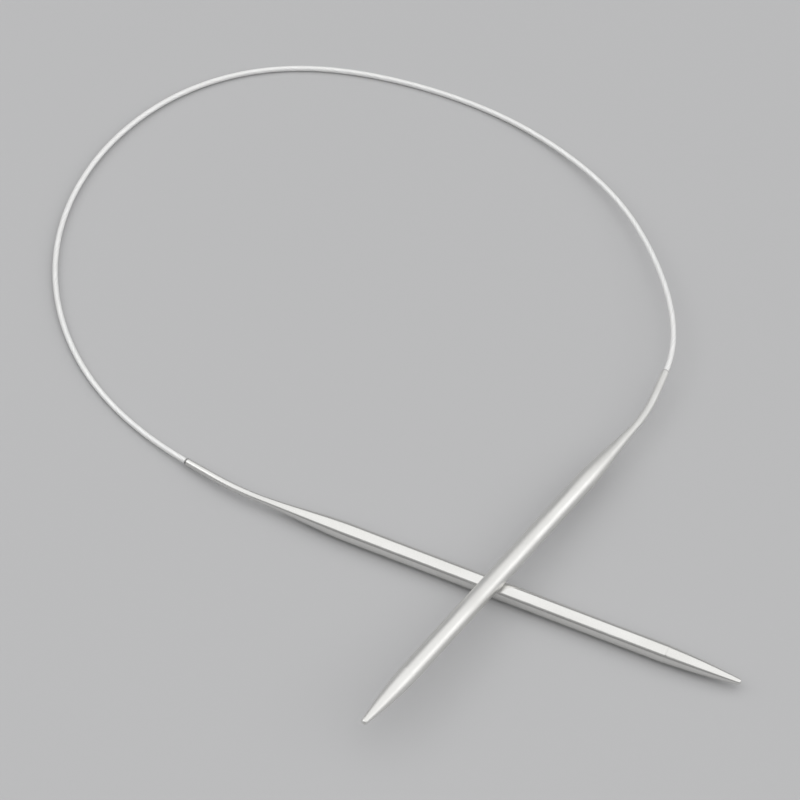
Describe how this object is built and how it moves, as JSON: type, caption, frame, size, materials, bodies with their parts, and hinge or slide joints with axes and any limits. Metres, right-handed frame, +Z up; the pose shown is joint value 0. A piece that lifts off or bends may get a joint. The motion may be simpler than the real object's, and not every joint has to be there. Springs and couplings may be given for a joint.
{
  "type": "circular knitting needle",
  "caption": "Circular knitting needle: two slim polished steel needles with bent necks, joined tip to tip by a thin flexible coated steel cable.",
  "frame": {"origin": "on the table, under the middle of the bounding box of the two needles as they lie crossed", "axes": "+Z up from the table; the cable loops round on the +Y side; the left needle, which lies flat on the table, points roughly along +X, and the right needle rests across it and points roughly along -Y"},
  "size_m": [0.1168, 0.1417, 0.0073],
  "materials": {
    "needle_steel": "polished stainless steel",
    "sleeve_steel": "plain stainless steel, hidden inside the neck",
    "coated_cable": "stranded steel wire under a thin clear nylon coat"
  },
  "bodies": {
    "cable": {"cable_loop": "coated_cable"},
    "left_bend": {"left_cable_bend": "coated_cable"},
    "left_needle": {"left_needle": "needle_steel", "left_crimp_sleeve": "sleeve_steel", "left_cable_end": "coated_cable"},
    "right_bend": {"right_cable_bend": "coated_cable"},
    "right_needle": {"right_needle": "needle_steel", "right_crimp_sleeve": "sleeve_steel", "right_cable_end": "coated_cable"}
  },
  "joints": [
    {"name": "left_swing", "type": "hinge", "parent": "cable", "child": "left_bend", "pos_m": [-0.07103, 0.04154, 0.00072], "axis": [0, 0, 1], "range_deg": [-60, 0], "stiffness_Nm_per_rad": 0.01, "deforming": ["left_cable_bend"]},
    {"name": "left_dip", "type": "hinge", "parent": "left_bend", "child": "left_needle", "pos_m": [-0.05649, 0.01528, 0.00054], "axis": [-0.3055, -0.9522, 0], "range_deg": [-45, 0], "stiffness_Nm_per_rad": 0.01, "deforming": ["left_cable_bend"]},
    {"name": "right_swing", "type": "hinge", "parent": "cable", "child": "right_bend", "pos_m": [0.00964, 0.08557, 0.00119], "axis": [0, 0, 1], "range_deg": [-60, 60], "stiffness_Nm_per_rad": 0.01, "deforming": ["right_cable_bend"]},
    {"name": "right_lift", "type": "hinge", "parent": "right_bend", "child": "right_needle", "pos_m": [0.02608, 0.0573, 0.00299], "axis": [-0.9386, 0.3451, 0], "range_deg": [0, 60], "stiffness_Nm_per_rad": 0.01, "deforming": ["right_cable_bend"]}
  ]
}
